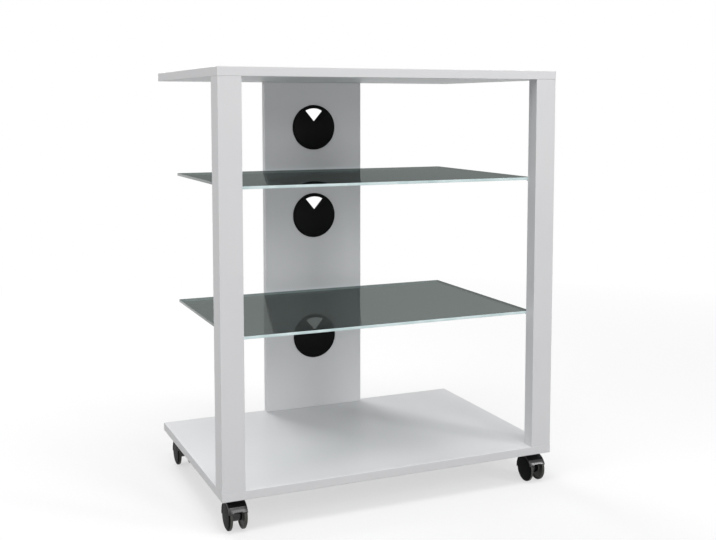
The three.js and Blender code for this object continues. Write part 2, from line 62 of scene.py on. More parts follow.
def add_node(tree, kind, inputs=None, **settings):
    """Adds one node to a tree: settings are its options, inputs are socket values or outputs to link."""
    node = tree.nodes.new(kind)
    for name, value in settings.items():
        setattr(node, name, value)
    for name, value in (inputs or {}).items():
        if isinstance(value, bpy.types.NodeSocket):
            tree.links.new(value, node.inputs[name])
        else:
            node.inputs[name].default_value = value
    return node


def empty_material(name):
    """A material with no nodes yet, and its tree."""
    material = bpy.data.materials.new(name)
    material.use_nodes = True
    material.node_tree.nodes.clear()
    return material, material.node_tree


def per_metre(millimetres):
    """The texture scale at which one grain or wave is so many millimetres long."""
    return 1 / (millimetres * MM)


# Melamine foil pressed on chipboard: an even cool white with a soft satin shine. The eye finds a faint
# cloudiness over a hand's breadth and the fine pearl of the press plate. The real pearl is about 0.4 mm,
# too fine to show, so it is drawn coarser and shallow.
melamine_foil, tree = empty_material("white_melamine_foil")
place = add_node(tree, "ShaderNodeTexCoord").outputs["Object"]
cloud = add_node(tree, "ShaderNodeTexNoise", {"Vector": place, "Scale": per_metre(FOIL_CLOUD_MM), "Detail": 3.0})
pearl = add_node(tree, "ShaderNodeTexNoise", {"Vector": place, "Scale": per_metre(FOIL_PEARL_MM), "Detail": 2.0})
tone = add_node(tree, "ShaderNodeMix", {
    "Factor": cloud.outputs["Fac"], "A": linear(FOIL_WHITE), "B": linear(FOIL_SHADE)}, data_type="RGBA")
satin = add_node(tree, "ShaderNodeMapRange", {
    "Value": pearl.outputs["Fac"], "From Min": 0.3, "From Max": 0.7, "To Min": 0.36, "To Max": 0.46})
relief = add_node(tree, "ShaderNodeBump", {
    "Height": pearl.outputs["Fac"], "Strength": 0.06, "Distance": 0.05 * MM})
surface = add_node(tree, "ShaderNodeBsdfPrincipled", {
    "Base Color": tone.outputs["Result"], "Roughness": satin.outputs["Result"], "IOR": 1.5,
    "Normal": relief.outputs["Normal"]})
add_node(tree, "ShaderNodeOutputMaterial", {"Surface": surface.outputs["BSDF"]})


def dress(node_name, material):
    """Gives a CAD node that keeps its own shape a better material."""
    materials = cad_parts[node_name].data.materials
    materials.clear()
    materials.append(material)


for board in ("base_board", "top_board"):
    dress(board, melamine_foil)


# Front posts.
# Two uprights of foiled chipboard, milled with a rebate in the inner rear corner where the glass passes.
# Each stands on the base with a long screw and a dowel and hangs from the top by a cam and a dowel.
for post in ("left_post", "right_post"):
    dress(post, melamine_foil)


# Rear panel.
# One upright foiled chipboard in the middle of the rear edge that keeps the rack square and carries the
# cables. Its three round holes are bored for the grommets, and screws and dowels hold its ends.
dress("rear_panel", melamine_foil)


# Joinery.
# Beech dowels, long chipboard screws, cam bolts and cams: bought fittings that pull the boards together.
# Only the faces of the cams, in the backs of the posts, and the screw heads under the base can be seen.
# The screws are rolled steel with a cross recess, and the cams are cast with a pocket for the bolt's head.
ZINC_BRIGHT = "#c3c7cb"
ZINC_DULL = "#a9adb2"
ZINC_SPANGLE_MM = 1.6
CAST_ZINC = "#8d9095"
CAST_GRAIN_MM = 0.5
BEECH_PALE = "#d1ae80"
BEECH_DARK = "#b98f60"
BEECH_GRAIN_MM = 1.2
WELD = 0.001
SOFTENING_STEPS = 2
HARD_CORNER = 35
CUT_OVERRUN = 1
CROSS_SOFTENING = 0.1

# Zinc-plated steel: a bright bluish metal whose crystals give patches of slightly different shine.
zinc_steel, tree = empty_material("zinc_plated_steel")
place = add_node(tree, "ShaderNodeTexCoord").outputs["Object"]
spangle = add_node(tree, "ShaderNodeTexVoronoi", {"Vector": place, "Scale": per_metre(ZINC_SPANGLE_MM)})
tone = add_node(tree, "ShaderNodeMix", {
    "Factor": spangle.outputs["Color"], "A": linear(ZINC_BRIGHT), "B": linear(ZINC_DULL)}, data_type="RGBA")
shine = add_node(tree, "ShaderNodeMapRange", {
    "Value": spangle.outputs["Distance"], "To Min": 0.26, "To Max": 0.38})
surface = add_node(tree, "ShaderNodeBsdfPrincipled", {
    "Base Color": tone.outputs["Result"], "Metallic": 1.0, "Roughness": shine.outputs["Result"]})
add_node(tree, "ShaderNodeOutputMaterial", {"Surface": surface.outputs["BSDF"]})

# Die-cast zinc alloy: grey and dull, with the fine sandy skin that the mould leaves.
cast_zinc, tree = empty_material("die_cast_zinc")
place = add_node(tree, "ShaderNodeTexCoord").outputs["Object"]
skin = add_node(tree, "ShaderNodeTexNoise", {"Vector": place, "Scale": per_metre(CAST_GRAIN_MM), "Detail": 3.0})
shine = add_node(tree, "ShaderNodeMapRange", {
    "Value": skin.outputs["Fac"], "From Min": 0.3, "From Max": 0.7, "To Min": 0.38, "To Max": 0.55})
relief = add_node(tree, "ShaderNodeBump", {
    "Height": skin.outputs["Fac"], "Strength": 0.25, "Distance": 0.04 * MM})
surface = add_node(tree, "ShaderNodeBsdfPrincipled", {
    "Base Color": linear(CAST_ZINC), "Metallic": 1.0, "Roughness": shine.outputs["Result"],
    "Normal": relief.outputs["Normal"]})
add_node(tree, "ShaderNodeOutputMaterial", {"Surface": surface.outputs["BSDF"]})

# Turned beech: a warm matt wood with fine darker streaks that run along the dowel.
beech, tree = empty_material("turned_beech")
place = add_node(tree, "ShaderNodeTexCoord").outputs["Object"]
along = add_node(tree, "ShaderNodeMapping", {"Vector": place, "Scale": Vector((1.0, 1.0, 0.08))})
streaks = add_node(tree, "ShaderNodeTexNoise", {
    "Vector": along.outputs["Vector"], "Scale": per_metre(BEECH_GRAIN_MM), "Detail": 4.0})
tone = add_node(tree, "ShaderNodeMix", {
    "Factor": streaks.outputs["Fac"], "A": linear(BEECH_PALE), "B": linear(BEECH_DARK)}, data_type="RGBA")
relief = add_node(tree, "ShaderNodeBump", {
    "Height": streaks.outputs["Fac"], "Strength": 0.3, "Distance": 0.1 * MM})
surface = add_node(tree, "ShaderNodeBsdfPrincipled", {
    "Base Color": tone.outputs["Result"], "Roughness": 0.7, "Normal": relief.outputs["Normal"]})
add_node(tree, "ShaderNodeOutputMaterial", {"Surface": surface.outputs["BSDF"]})

for fixing in ("left_post", "right_post"):
    dress(f"{fixing}_lower_dowel", beech)
    dress(f"{fixing}_upper_dowel", beech)
    dress(f"{fixing}_cam_bolt", zinc_steel)
for side in ("left", "right"):
    dress(f"rear_panel_dowel_{side}", beech)


def plate(outlines, thickness, softening):
    """A flat plate in the XY plane from closed outlines, the inner ones being holes, with softened edges."""
    curve = bpy.data.curves.new("plate_outline", "CURVE")
    curve.dimensions = "2D"
    curve.fill_mode = "BOTH"
    curve.extrude = thickness / 2 - softening
    curve.bevel_depth = softening
    curve.bevel_resolution = SOFTENING_STEPS
    curve.offset = -softening
    for outline in outlines:
        spline = curve.splines.new("POLY")
        spline.points.add(len(outline) - 1)
        for point, (x, y) in zip(spline.points, outline):
            point.co = (x, y, 0.0, 1.0)
        spline.use_cyclic_u = True
    carrier = bpy.data.objects.new("plate_outline", curve)
    bpy.context.collection.objects.link(carrier)
    evaluated = carrier.evaluated_get(bpy.context.evaluated_depsgraph_get())
    mesh = bpy.data.meshes.new_from_object(evaluated)
    body = bmesh.new()
    body.from_mesh(mesh)
    bmesh.ops.remove_doubles(body, verts=body.verts, dist=WELD)
    bpy.data.objects.remove(carrier)
    bpy.data.curves.remove(curve)
    bpy.data.meshes.remove(mesh)
    return body


def circle(radius, count):
    """Points of a circle as a closed outline."""
    turns = [2 * math.pi * i / count for i in range(count)]
    return [(radius * math.cos(t), radius * math.sin(t)) for t in turns]


def turned(profile, count):
    """A body turned about Z from (radius, height) points. A profile that doesn't end on the axis closes."""
    body = bmesh.new()
    rings = []
    for radius, height in profile:
        spots = circle(radius, count) if radius > 0 else [(0, 0)]
        rings.append([body.verts.new((x, y, height)) for x, y in spots])
    pairs = list(zip(rings, rings[1:]))
    if len(rings[0]) > 1 and len(rings[-1]) > 1:
        pairs.append((rings[-1], rings[0]))
    for lower, upper in pairs:
        for i in range(count):
            j = (i + 1) % count
            corners = [lower[i % len(lower)], lower[j % len(lower)], upper[j % len(upper)], upper[i % len(upper)]]
            body.faces.new(list(dict.fromkeys(corners)))
    return body


def arc(centre, radius, start, end, count):
    """Points of an arc in a profile, with angles in degrees from its first axis."""
    angles = [math.radians(start + (end - start) * i / count) for i in range(count + 1)]
    return [(centre[0] + radius * math.cos(a), centre[1] + radius * math.sin(a)) for a in angles]


def move(body, *steps):
    """A body turned and shifted by matrices, in the order given."""
    for step in steps:
        body.transform(step)
    return body


def merged(*bodies):
    """Several closed bodies as one bmesh."""
    whole = bmesh.new()
    for body in bodies:
        mesh = bpy.data.meshes.new("loose_part")
        body.to_mesh(mesh)
        body.free()
        whole.from_mesh(mesh)
        bpy.data.meshes.remove(mesh)
    return whole


def shift(x, y, z):
    """The matrix of a shift in millimetres."""
    return Matrix.Translation((x, y, z))


def turn(degrees, axis):
    """The matrix of a turn about one axis through the origin."""
    return Matrix.Rotation(math.radians(degrees), 4, axis)


def make_piece(name, body, materials, rides_on, finish_slot, *stands_for):
    """Writes a bmesh in millimetres out as a piece in metres, with hard corners where its faces turn."""
    bmesh.ops.recalc_face_normals(body, faces=body.faces)
    for face in body.faces:
        face.smooth = True
    for edge in body.edges:
        edge.smooth = len(edge.link_faces) == 2 and edge.calc_face_angle() < math.radians(HARD_CORNER)
    body.transform(Matrix.Scale(MM, 4))
    mesh = bpy.data.meshes.new(name)
    body.to_mesh(mesh)
    body.free()
    for material in materials:
        mesh.materials.append(material)
    piece = bpy.data.objects.new(name, mesh)
    bpy.context.collection.objects.link(piece)
    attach(piece, rides_on)
    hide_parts(*stands_for)
    return piece


def cross_recess(reach, half_width):
    """Outline of the cross that a screwdriver turns."""
    quarter = [(reach, -half_width), (reach, half_width), (half_width, half_width)]
    outline = []
    for i in range(4):
        c, s = math.cos(i * math.pi / 2), math.sin(i * math.pi / 2)
        outline += [(x * c - y * s, x * s + y * c) for x, y in quarter]
    return outline


def joined(main, added, cut):
    """One closed body from overlapping ones, with others cut out of it."""
    parts = []
    for body in [main, *added, *cut]:
        bmesh.ops.recalc_face_normals(body, faces=body.faces)
        mesh = bpy.data.meshes.new("boolean_part")
        body.to_mesh(mesh)
        body.free()
        part = bpy.data.objects.new("boolean_part", mesh)
        bpy.context.collection.objects.link(part)
        parts.append(part)
    for i, part in enumerate(parts[1:]):
        step = parts[0].modifiers.new("step", "BOOLEAN")
        step.operation = "UNION" if i < len(added) else "DIFFERENCE"
        step.solver = "EXACT"
        step.object = part
    evaluated = parts[0].evaluated_get(bpy.context.evaluated_depsgraph_get())
    mesh = bpy.data.meshes.new_from_object(evaluated)
    whole = bmesh.new()
    whole.from_mesh(mesh)
    for part in parts:
        data = part.data
        bpy.data.objects.remove(part)
        bpy.data.meshes.remove(data)
    bpy.data.meshes.remove(mesh)
    return whole


CAM_RADIUS = 7.2
CAM_DEPTH = 11.5
CAM_SUNK = 0.3
CAM_RIM = 1.4
CAM_CHAMFER = 0.8
CAM_RIM_HEIGHT = 0.4
CAM_RIM_SLOPE = 0.3
CAM_BOLT_INSET = 8
CAM_POCKET_RADIUS = 3.8
CAM_POCKET_FOOT = -3
CAM_CROSS_REACH = 4.4
CAM_CROSS_HALF_WIDTH = 0.9
CAM_CROSS_DEPTH = 2.4
CAM_CROSS_OVERRUN = 0.2
for side in ("left", "right"):
    low, high = (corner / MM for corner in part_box(f"{side}_post_cam"))
    face = -CAM_SUNK - CAM_RIM_HEIGHT
    body = turned([(0, -CAM_DEPTH), (CAM_RADIUS - CAM_CHAMFER, -CAM_DEPTH), (CAM_RADIUS, -CAM_DEPTH + CAM_CHAMFER),
                   (CAM_RADIUS, face), (CAM_RADIUS - CAM_RIM_HEIGHT, -CAM_SUNK), (CAM_RADIUS - CAM_RIM, -CAM_SUNK),
                   (CAM_RADIUS - CAM_RIM - CAM_RIM_SLOPE, face), (0, face)], 64)
    cross = plate([cross_recess(CAM_CROSS_REACH, CAM_CROSS_HALF_WIDTH)], CAM_CROSS_DEPTH, CROSS_SOFTENING)
    cross = move(cross, shift(0, 0, CAM_CROSS_OVERRUN - CAM_SUNK - CAM_CROSS_DEPTH / 2), turn(-90, "X"))
    pocket = turned([(0, CAM_POCKET_FOOT), (CAM_POCKET_RADIUS, CAM_POCKET_FOOT),
                     (CAM_POCKET_RADIUS, CAM_RADIUS + CUT_OVERRUN), (0, CAM_RADIUS + CUT_OVERRUN)], 48)
    pocket = move(pocket, shift(0, -CAM_BOLT_INSET, 0))
    cam = joined(move(body, turn(-90, "X")), [], [cross, pocket])
    cam = move(cam, shift((low.x + high.x) / 2, high.y + CAM_SUNK, (low.z + high.z) / 2))
    make_piece(f"{side}_post_cam_cast", cam, [cast_zinc], "frame", "cast_zinc", f"{side}_post_cam")


SCREW_SUNK = 0.3
SCREW_HEAD_RADIUS = 5
SCREW_HEAD_EDGE = 0.2
SCREW_HEAD_BEVEL = 0.3
SCREW_HEAD_END = 3.3
SCREW_SHANK_RADIUS = 3.5
SCREW_SHANK_END = 15.8
SCREW_LENGTH = 50
SCREW_CREST = 2.6
SCREW_CORE = 1.8
SCREW_PITCH = 3
SCREW_POINT = 5
SCREW_TIP_SHARE = 0.08
SCREW_OVERLAP = 0.5
THREAD_ROWS_PER_TURN = 8
THREAD_SIDES = 20
SCREW_CROSS_REACH = 2.9
SCREW_CROSS_HALF_WIDTH = 0.6
SCREW_CROSS_DEPTH = 2.2
SCREW_CROSS_OVERRUN = 0.1


def thread(start, end):
    """The threaded end of a chipboard screw: a core with one sharp ridge that winds up it to the point."""
    rows = round((end - start) / SCREW_PITCH * THREAD_ROWS_PER_TURN)
    body = bmesh.new()
    rings = []
    for row in range(rows + 1):
        height = start + (end - start) * row / rows
        taper = min(1, (end - height) / SCREW_POINT + SCREW_TIP_SHARE)
        ring = []
        for i in range(THREAD_SIDES):
            phase = (height / SCREW_PITCH - i / THREAD_SIDES) % 1
            ridge = max(0, 1 - 4 * abs(phase - 0.5))
            radius = (SCREW_CORE + (SCREW_CREST - SCREW_CORE) * ridge) * taper
            angle = 2 * math.pi * i / THREAD_SIDES
            ring.append(body.verts.new((radius * math.cos(angle), radius * math.sin(angle), height)))
        rings.append(ring)
    for lower, upper in zip(rings, rings[1:]):
        for i in range(THREAD_SIDES):
            j = (i + 1) % THREAD_SIDES
            body.faces.new([lower[i], lower[j], upper[j], upper[i]])
    body.faces.new(list(reversed(rings[0])))
    body.faces.new(rings[-1])
    return body


screw_blank = turned([(0, SCREW_SUNK), (SCREW_HEAD_RADIUS - SCREW_HEAD_BEVEL, SCREW_SUNK),
                      (SCREW_HEAD_RADIUS, SCREW_SUNK + SCREW_HEAD_EDGE), (SCREW_SHANK_RADIUS, SCREW_HEAD_END),
                      (SCREW_SHANK_RADIUS, SCREW_SHANK_END), (SCREW_CORE, SCREW_SHANK_END), (0, SCREW_SHANK_END)], 48)
screw_cross = plate([cross_recess(SCREW_CROSS_REACH, SCREW_CROSS_HALF_WIDTH)], SCREW_CROSS_DEPTH, CROSS_SOFTENING)
screw_cross = move(screw_cross, shift(0, 0, SCREW_SUNK + SCREW_CROSS_DEPTH / 2 - SCREW_CROSS_OVERRUN))
screw = merged(joined(screw_blank, [], [screw_cross]), thread(SCREW_SHANK_END - SCREW_OVERLAP, SCREW_LENGTH))
for node_name in ("left_post_screw", "right_post_screw", "rear_panel_screw_left", "rear_panel_screw_right"):
    low, high = (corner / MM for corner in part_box(node_name))
    placed = move(screw.copy(), shift((low.x + high.x) / 2, (low.y + high.y) / 2, low.z - SCREW_SUNK))
    make_piece(f"{node_name}_threaded", placed, [zinc_steel], "frame", "zinc_steel", node_name)
screw.free()


# Cable grommets.
# Two moulded parts in each hole of the panel: a flanged sleeve that snaps into the hole, and a cap that
# turns in it. The cap's wedge opening lets the leads through. Black ABS, injection moulded.
ABS_BLACK = "#060607"
ABS_WORN = "#0c0c0d"
ABS_GRAIN_MM = 0.9
FLANGE_RADIUS = 47
FLANGE_PROUD = 3
FLANGE_ROUND = 1.2
SEAT_RADIUS = 44.2
SEAT_FLOOR = 1
SEAT_EDGE = 0.4
TUBE_RADIUS = 43.4
TUBE_INNER = 42
TUBE_LENGTH = 14
TUBE_LEAD = 1
TUBE_EDGE = 0.4
CAP_RADIUS = 43.6
CAP_THICKNESS = 1.65
CAP_ROUND = 0.45
SKIRT_OUTER = 41.4
SKIRT_INNER = 40.3
SKIRT_LENGTH = 6
SKIRT_OVERLAP = 0.2
WEDGE_TIP = 13
WEDGE_REACH = 40
WEDGE_HALF_ANGLE = 40
WEDGE_CORNER = 1.4
SLIGHT_BEND = 25

# ABS from a lightly etched mould: black with a low satin shine, a fine even grain and hardly any colour.
abs_black, tree = empty_material("black_moulded_abs")
place = add_node(tree, "ShaderNodeTexCoord").outputs["Object"]
grain = add_node(tree, "ShaderNodeTexNoise", {"Vector": place, "Scale": per_metre(ABS_GRAIN_MM), "Detail": 2.0})
tone = add_node(tree, "ShaderNodeMix", {
    "Factor": grain.outputs["Fac"], "A": linear(ABS_BLACK), "B": linear(ABS_WORN)}, data_type="RGBA")
satin = add_node(tree, "ShaderNodeMapRange", {
    "Value": grain.outputs["Fac"], "From Min": 0.3, "From Max": 0.7, "To Min": 0.34, "To Max": 0.46})
relief = add_node(tree, "ShaderNodeBump", {
    "Height": grain.outputs["Fac"], "Strength": 0.1, "Distance": 0.04 * MM})
surface = add_node(tree, "ShaderNodeBsdfPrincipled", {
    "Base Color": tone.outputs["Result"], "Roughness": satin.outputs["Result"], "IOR": 1.53,
    "Specular IOR Level": 0.07, "Normal": relief.outputs["Normal"]})
add_node(tree, "ShaderNodeOutputMaterial", {"Surface": surface.outputs["BSDF"]})


def round_corners(outline, radius, steps=4):
    """A closed outline whose sharp corners are replaced by short curves."""
    rounded = []
    for i, corner in enumerate(outline):
        here = Vector(corner)
        back = Vector(outline[i - 1]) - here
        on = Vector(outline[(i + 1) % len(outline)]) - here
        if math.degrees(math.pi - back.angle(on)) < SLIGHT_BEND:
            rounded.append(tuple(here))
            continue
        start = here + back.normalized() * radius
        end = here + on.normalized() * radius
        for k in range(steps + 1):
            t = k / steps
            rounded.append(tuple(start * (1 - t) ** 2 + here * 2 * t * (1 - t) + end * t ** 2))
    return rounded


half_angle = math.radians(WEDGE_HALF_ANGLE)
arc_half = math.degrees(half_angle - math.asin(WEDGE_TIP / WEDGE_REACH * math.sin(half_angle)))
wedge = arc((0, 0), WEDGE_REACH, 90 - arc_half, 90 + arc_half, 6) + [(0, WEDGE_TIP)]
wedge = round_corners(wedge, WEDGE_CORNER)

sleeve_profile = [
    (TUBE_INNER, -TUBE_LENGTH + TUBE_EDGE), (TUBE_INNER + TUBE_EDGE, -TUBE_LENGTH),
    (TUBE_RADIUS - TUBE_LEAD / 2, -TUBE_LENGTH), (TUBE_RADIUS, -TUBE_LENGTH + TUBE_LEAD),
    (TUBE_RADIUS, 0), (FLANGE_RADIUS, 0),
    *arc((FLANGE_RADIUS - FLANGE_ROUND, FLANGE_PROUD - FLANGE_ROUND), FLANGE_ROUND, 0, 90, 4),
    *arc((SEAT_RADIUS + SEAT_EDGE, FLANGE_PROUD - SEAT_EDGE), SEAT_EDGE, 90, 180, 2),
    (SEAT_RADIUS, SEAT_FLOOR), (TUBE_INNER, SEAT_FLOOR),
]
skirt_profile = [
    (SKIRT_INNER, 0), (SKIRT_INNER, -SKIRT_LENGTH), (SKIRT_OUTER, -SKIRT_LENGTH), (SKIRT_OUTER, 0),
]
for level in ("upper", "middle", "lower"):
    low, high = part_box(f"{level}_grommet_sleeve")
    hole = shift((low.x + high.x) / 2 / MM, low.y / MM + FLANGE_PROUD, (low.z + high.z) / 2 / MM)
    sleeve = move(turned(sleeve_profile, 96), turn(90, "X"), hole)
    make_piece(f"{level}_grommet_sleeve_moulded", sleeve, [abs_black], "frame", "grommet_plastic",
               f"{level}_grommet_sleeve")
    disc = plate([circle(CAP_RADIUS, 96), wedge], CAP_THICKNESS, CAP_ROUND)
    disc = move(disc, shift(0, 0, FLANGE_PROUD - CAP_THICKNESS / 2))
    skirt = move(turned(skirt_profile, 96), shift(0, 0, FLANGE_PROUD - CAP_THICKNESS + SKIRT_OVERLAP))
    cap = move(merged(disc, skirt), turn(90, "X"), hole)
    make_piece(f"{level}_grommet_cap_moulded", cap, [abs_black], f"{level}_cap", "grommet_plastic",
               f"{level}_grommet_cap")


# Shelf supports.
# Turned steel pins with a pressed tongue, zinc plated, pushed into holes in the posts and the panel.
# A clear silicone pad on each tongue keeps the glass from sliding and chinking.
PIN_RADIUS = 2.5
PIN_LENGTH = 9
PIN_LEAD = 0.6
COLLAR_RADIUS = 4.5
COLLAR_THICKNESS = 1.4
COLLAR_EDGE = 0.4
TONGUE_WIDTH = 8
TONGUE_THICKNESS = 2
TONGUE_EDGE = 0.3
RIB_DEPTH = 2.5
RIB_THICKNESS = 2
RIB_EDGE = 0.2
PAD_RADIUS = 3
PAD_THICKNESS = 0.25
PAD_EDGE = 0.1
SILICONE_TINT = "#e8eef0"

# Clear silicone: a soft see-through pad with a blurred shine, so it reads as a pale dot under the glass.
clear_silicone, tree = empty_material("clear_silicone")
place = add_node(tree, "ShaderNodeTexCoord").outputs["Object"]
haze = add_node(tree, "ShaderNodeTexNoise", {"Vector": place, "Scale": per_metre(PAD_RADIUS)})
veil = add_node(tree, "ShaderNodeMapRange", {"Value": haze.outputs["Fac"], "To Min": 0.35, "To Max": 0.55})
surface = add_node(tree, "ShaderNodeBsdfPrincipled", {
    "Base Color": linear(SILICONE_TINT), "Roughness": 0.35, "IOR": 1.41, "Alpha": veil.outputs["Result"]})
add_node(tree, "ShaderNodeOutputMaterial", {"Surface": surface.outputs["BSDF"]})

for level in ("lower", "upper"):
    for place_name in ("front_left", "front_right", "rear_left", "rear_right"):
        node_name = f"{level}_shelf_support_{place_name}"
        low, high = (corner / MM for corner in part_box(node_name))
        height = high.z - COLLAR_RADIUS
        if place_name.startswith("rear"):
            heading, reach = -90, high.y - low.y - PIN_LENGTH
            wall = shift((low.x + high.x) / 2, high.y - PIN_LENGTH, height)
        elif place_name.endswith("left"):
            heading, reach = 0, high.x - low.x - PIN_LENGTH
            wall = shift(low.x + PIN_LENGTH, (low.y + high.y) / 2, height)
        else:
            heading, reach = 180, high.x - low.x - PIN_LENGTH
            wall = shift(high.x - PIN_LENGTH, (low.y + high.y) / 2, height)
        pin = turned([(0, -PIN_LENGTH), (PIN_RADIUS - PIN_LEAD, -PIN_LENGTH), (PIN_RADIUS, -PIN_LENGTH + PIN_LEAD),
                      (PIN_RADIUS, 0), (COLLAR_RADIUS, 0), (COLLAR_RADIUS, COLLAR_THICKNESS - COLLAR_EDGE),
                      (COLLAR_RADIUS - COLLAR_EDGE, COLLAR_THICKNESS), (0, COLLAR_THICKNESS)], 48)
        pin = move(pin, turn(90, "Y"))
        half = TONGUE_WIDTH / 2
        tongue_outline = [(0, -half), *arc((reach - half, 0), half, -90, 90, 12), (0, half)]
        tongue = plate([tongue_outline], TONGUE_THICKNESS, TONGUE_EDGE)
        rib_outline = [(0, 0), (0, -RIB_DEPTH), (reach / 6, -RIB_DEPTH), (reach / 2, 0)]
        rib = move(plate([rib_outline], RIB_THICKNESS, RIB_EDGE), turn(90, "X"),
                   shift(0, 0, RIB_EDGE - TONGUE_THICKNESS / 2))
        support = move(merged(pin, tongue, rib), turn(heading, "Z"), wall)
        make_piece(f"{node_name}_pin", support, [zinc_steel], "frame", "zinc_steel", node_name)
        pad_foot = TONGUE_THICKNESS / 2
        pad = turned([(0, pad_foot), (PAD_RADIUS, pad_foot), (PAD_RADIUS - PAD_EDGE, pad_foot + PAD_THICKNESS),
                      (0, pad_foot + PAD_THICKNESS)], 32)
        pad = move(pad, shift(reach - half, 0, 0), turn(heading, "Z"), wall)
        make_piece(f"{node_name}_pad", pad, [clear_silicone], "frame", "shelf_glass")


# Glass shelves.
# Two plates of toughened float glass, 5 mm thick, cut to size, with ground and polished edges and corners
# taken off. They lie loose on their supports, between the posts and clear of the rear panel.
GLASS_THICKNESS = 5
GLASS_ARRIS = 0.5
GLASS_CORNER = 3
GLASS_TINT = "#f4f8f7"
GLASS_DEPTH = "#abb2b0"
GLASS_SHEEN_PAINTED_GREY = "#767c7a"
EDGE_CYAN = "#d3e3e4"
EDGE_DEEP = "#a3bcbd"
EDGE_PAINTED_GLOW = 0.25
END_GREY = "#6a7674"
END_DEEP = "#56625f"
EDGE_WAVE_MM = 45

# Float glass: clear from above, with a breath of green from the iron in it. The flatter the look, the
# longer the way through the plate and the stronger its sheen, so from the front it is a grey-green mirror.
# The mirror's grey is painted shade: it dims the white surround that it reflects, as a darker room would.
float_glass, tree = empty_material("toughened_float_glass")
edge_on = add_node(tree, "ShaderNodeLayerWeight", {"Blend": 0.5}).outputs["Facing"]
steep = add_node(tree, "ShaderNodeMath", {0: edge_on, 1: 2.2}, operation="POWER")
mirror = add_node(tree, "ShaderNodeMapRange", {"Value": steep.outputs["Value"], "To Min": 0.04, "To Max": 0.9})
way_through = add_node(tree, "ShaderNodeMath", {0: edge_on, 1: 2.0}, operation="POWER")
tint = add_node(tree, "ShaderNodeMix", {
    "Factor": way_through.outputs["Value"], "A": linear(GLASS_TINT), "B": linear(GLASS_DEPTH)}, data_type="RGBA")
clear = add_node(tree, "ShaderNodeBsdfTransparent", {"Color": tint.outputs["Result"]})
# The grey colour of this mirror is painted shade in the reflection.
glint = add_node(tree, "ShaderNodeBsdfGlossy", {"Color": linear(GLASS_SHEEN_PAINTED_GREY), "Roughness": 0.02})
surface = add_node(tree, "ShaderNodeMixShader", {
    "Fac": mirror.outputs["Result"], 1: clear.outputs["BSDF"], 2: glint.outputs["BSDF"]})
add_node(tree, "ShaderNodeOutputMaterial", {"Surface": surface.outputs["Shader"]})

# Polished glass edges: along the front and rear they are bright pale cyan lines with a faint glow, painted
# light for the light that entered the plate and leaves there, and they deepen in slow waves. Across the two
# ends the look goes into the plate's own depth, so they are a calm grey green that doesn't glow.
pane_edges = []
for edge_name, near_tone, deep_tone, painted_glow in (
        ("polished_glass_edge", EDGE_CYAN, EDGE_DEEP, EDGE_PAINTED_GLOW), ("polished_glass_end", END_GREY, END_DEEP, 0)):
    glass_edge, tree = empty_material(edge_name)
    place = add_node(tree, "ShaderNodeTexCoord").outputs["Object"]
    waves = add_node(tree, "ShaderNodeTexNoise", {"Vector": place, "Scale": per_metre(EDGE_WAVE_MM), "Detail": 2.0})
    depth = add_node(tree, "ShaderNodeMapRange", {"Value": waves.outputs["Fac"], "From Min": 0.4, "From Max": 0.75})
    tone = add_node(tree, "ShaderNodeMix", {
        "Factor": depth.outputs["Result"], "A": linear(near_tone), "B": linear(deep_tone)}, data_type="RGBA")
    # The pale cyan and the glow of the front and rear edges are painted light.
    surface = add_node(tree, "ShaderNodeBsdfPrincipled", {
        "Base Color": tone.outputs["Result"], "Roughness": 0.08, "IOR": 1.52,
        "Emission Color": linear(near_tone), "Emission Strength": painted_glow})
    add_node(tree, "ShaderNodeOutputMaterial", {"Surface": surface.outputs["BSDF"]})
    pane_edges.append(glass_edge)

for level in ("lower", "upper"):
    low, high = (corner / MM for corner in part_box(f"{level}_glass_shelf"))
    centre, half = (low + high) / 2, (high - low) / 2
    corners = [(-half.x, -half.y), (half.x, -half.y), (half.x, half.y), (-half.x, half.y)]
    pane = plate([round_corners(corners, GLASS_CORNER, 6)], GLASS_THICKNESS, GLASS_ARRIS)
    pane = move(pane, shift(*centre))
    pane.normal_update()
    for face in pane.faces:
        flat, end_on = abs(face.normal.z) > 0.95, abs(face.normal.x) > abs(face.normal.y)
        face.material_index = 0 if flat else 2 if end_on else 1
    make_piece(f"{level}_glass_pane", pane, [float_glass, *pane_edges], "frame", "shelf_glass",
               f"{level}_glass_shelf")


# Casters.
# Twin-wheel furniture casters: a hooded body of gloss nylon that swivels on a plated stem, and two nylon
# wheels on one steel axle. The stem screws into a cast insert that is pressed into the base board.
HOOD_INNER = 25.8
HOOD_OUTER = 26.8
HOOD_HALF_WIDTH = 17
HOOD_LIP = 23
HOOD_NOTCH = 4
HOOD_REAR = 188
NOTCH_HALF_WIDTH = 7.5
NOTCH_CORNER = 1.4
SHOULDER_X = 14
SHOULDER_RADIUS = 23.8
SHELL_END_DROP = 0.25
SHELL_END_SHARE = 0.6
SWEEP_STEPS = 60
WEB_THICKNESS = 15
WEB_EDGE = 0.8
WEB_OVERLAP = 0.5
WEB_BACKSET = 2
HUB_RADIUS = 10.5
HUB_HALF = 9.6
HUB_EDGE = 0.5
AXLE_BORE = 2.6
AXLE_CUT_HALF = 20
BOSS_RADIUS = 8
BOSS_HEIGHT = 29.2
BOSS_EDGE = 0.8
STEM_BORE = 4.2
STEM_BORE_FOOT = 8.6
STEM_CUT_TOP = 40
CASTER_TRAIL = 14.5
WHEEL_RADIUS = 25
WHEEL_INNER = 10
WHEEL_OUTER = 17
RIM_ROUND = 1.2
WHEEL_CAP = 2
DISH_DEPTH = 1.8
DISH_INNER = 12
DISH_OUTER = 21
DISH_RIM = 22.8
PAINTED_LIGHT_INNER_DEPTH = 2
NYLON_BLACK = "#0b0b0c"
DISC_BLACK = "#101112"
DISC_GREY = "#18191a"
TREAD_GREY = "#3a3b38"
TREAD_DUSTY = "#4e4f49"
NYLON_FLOW_MM = 9
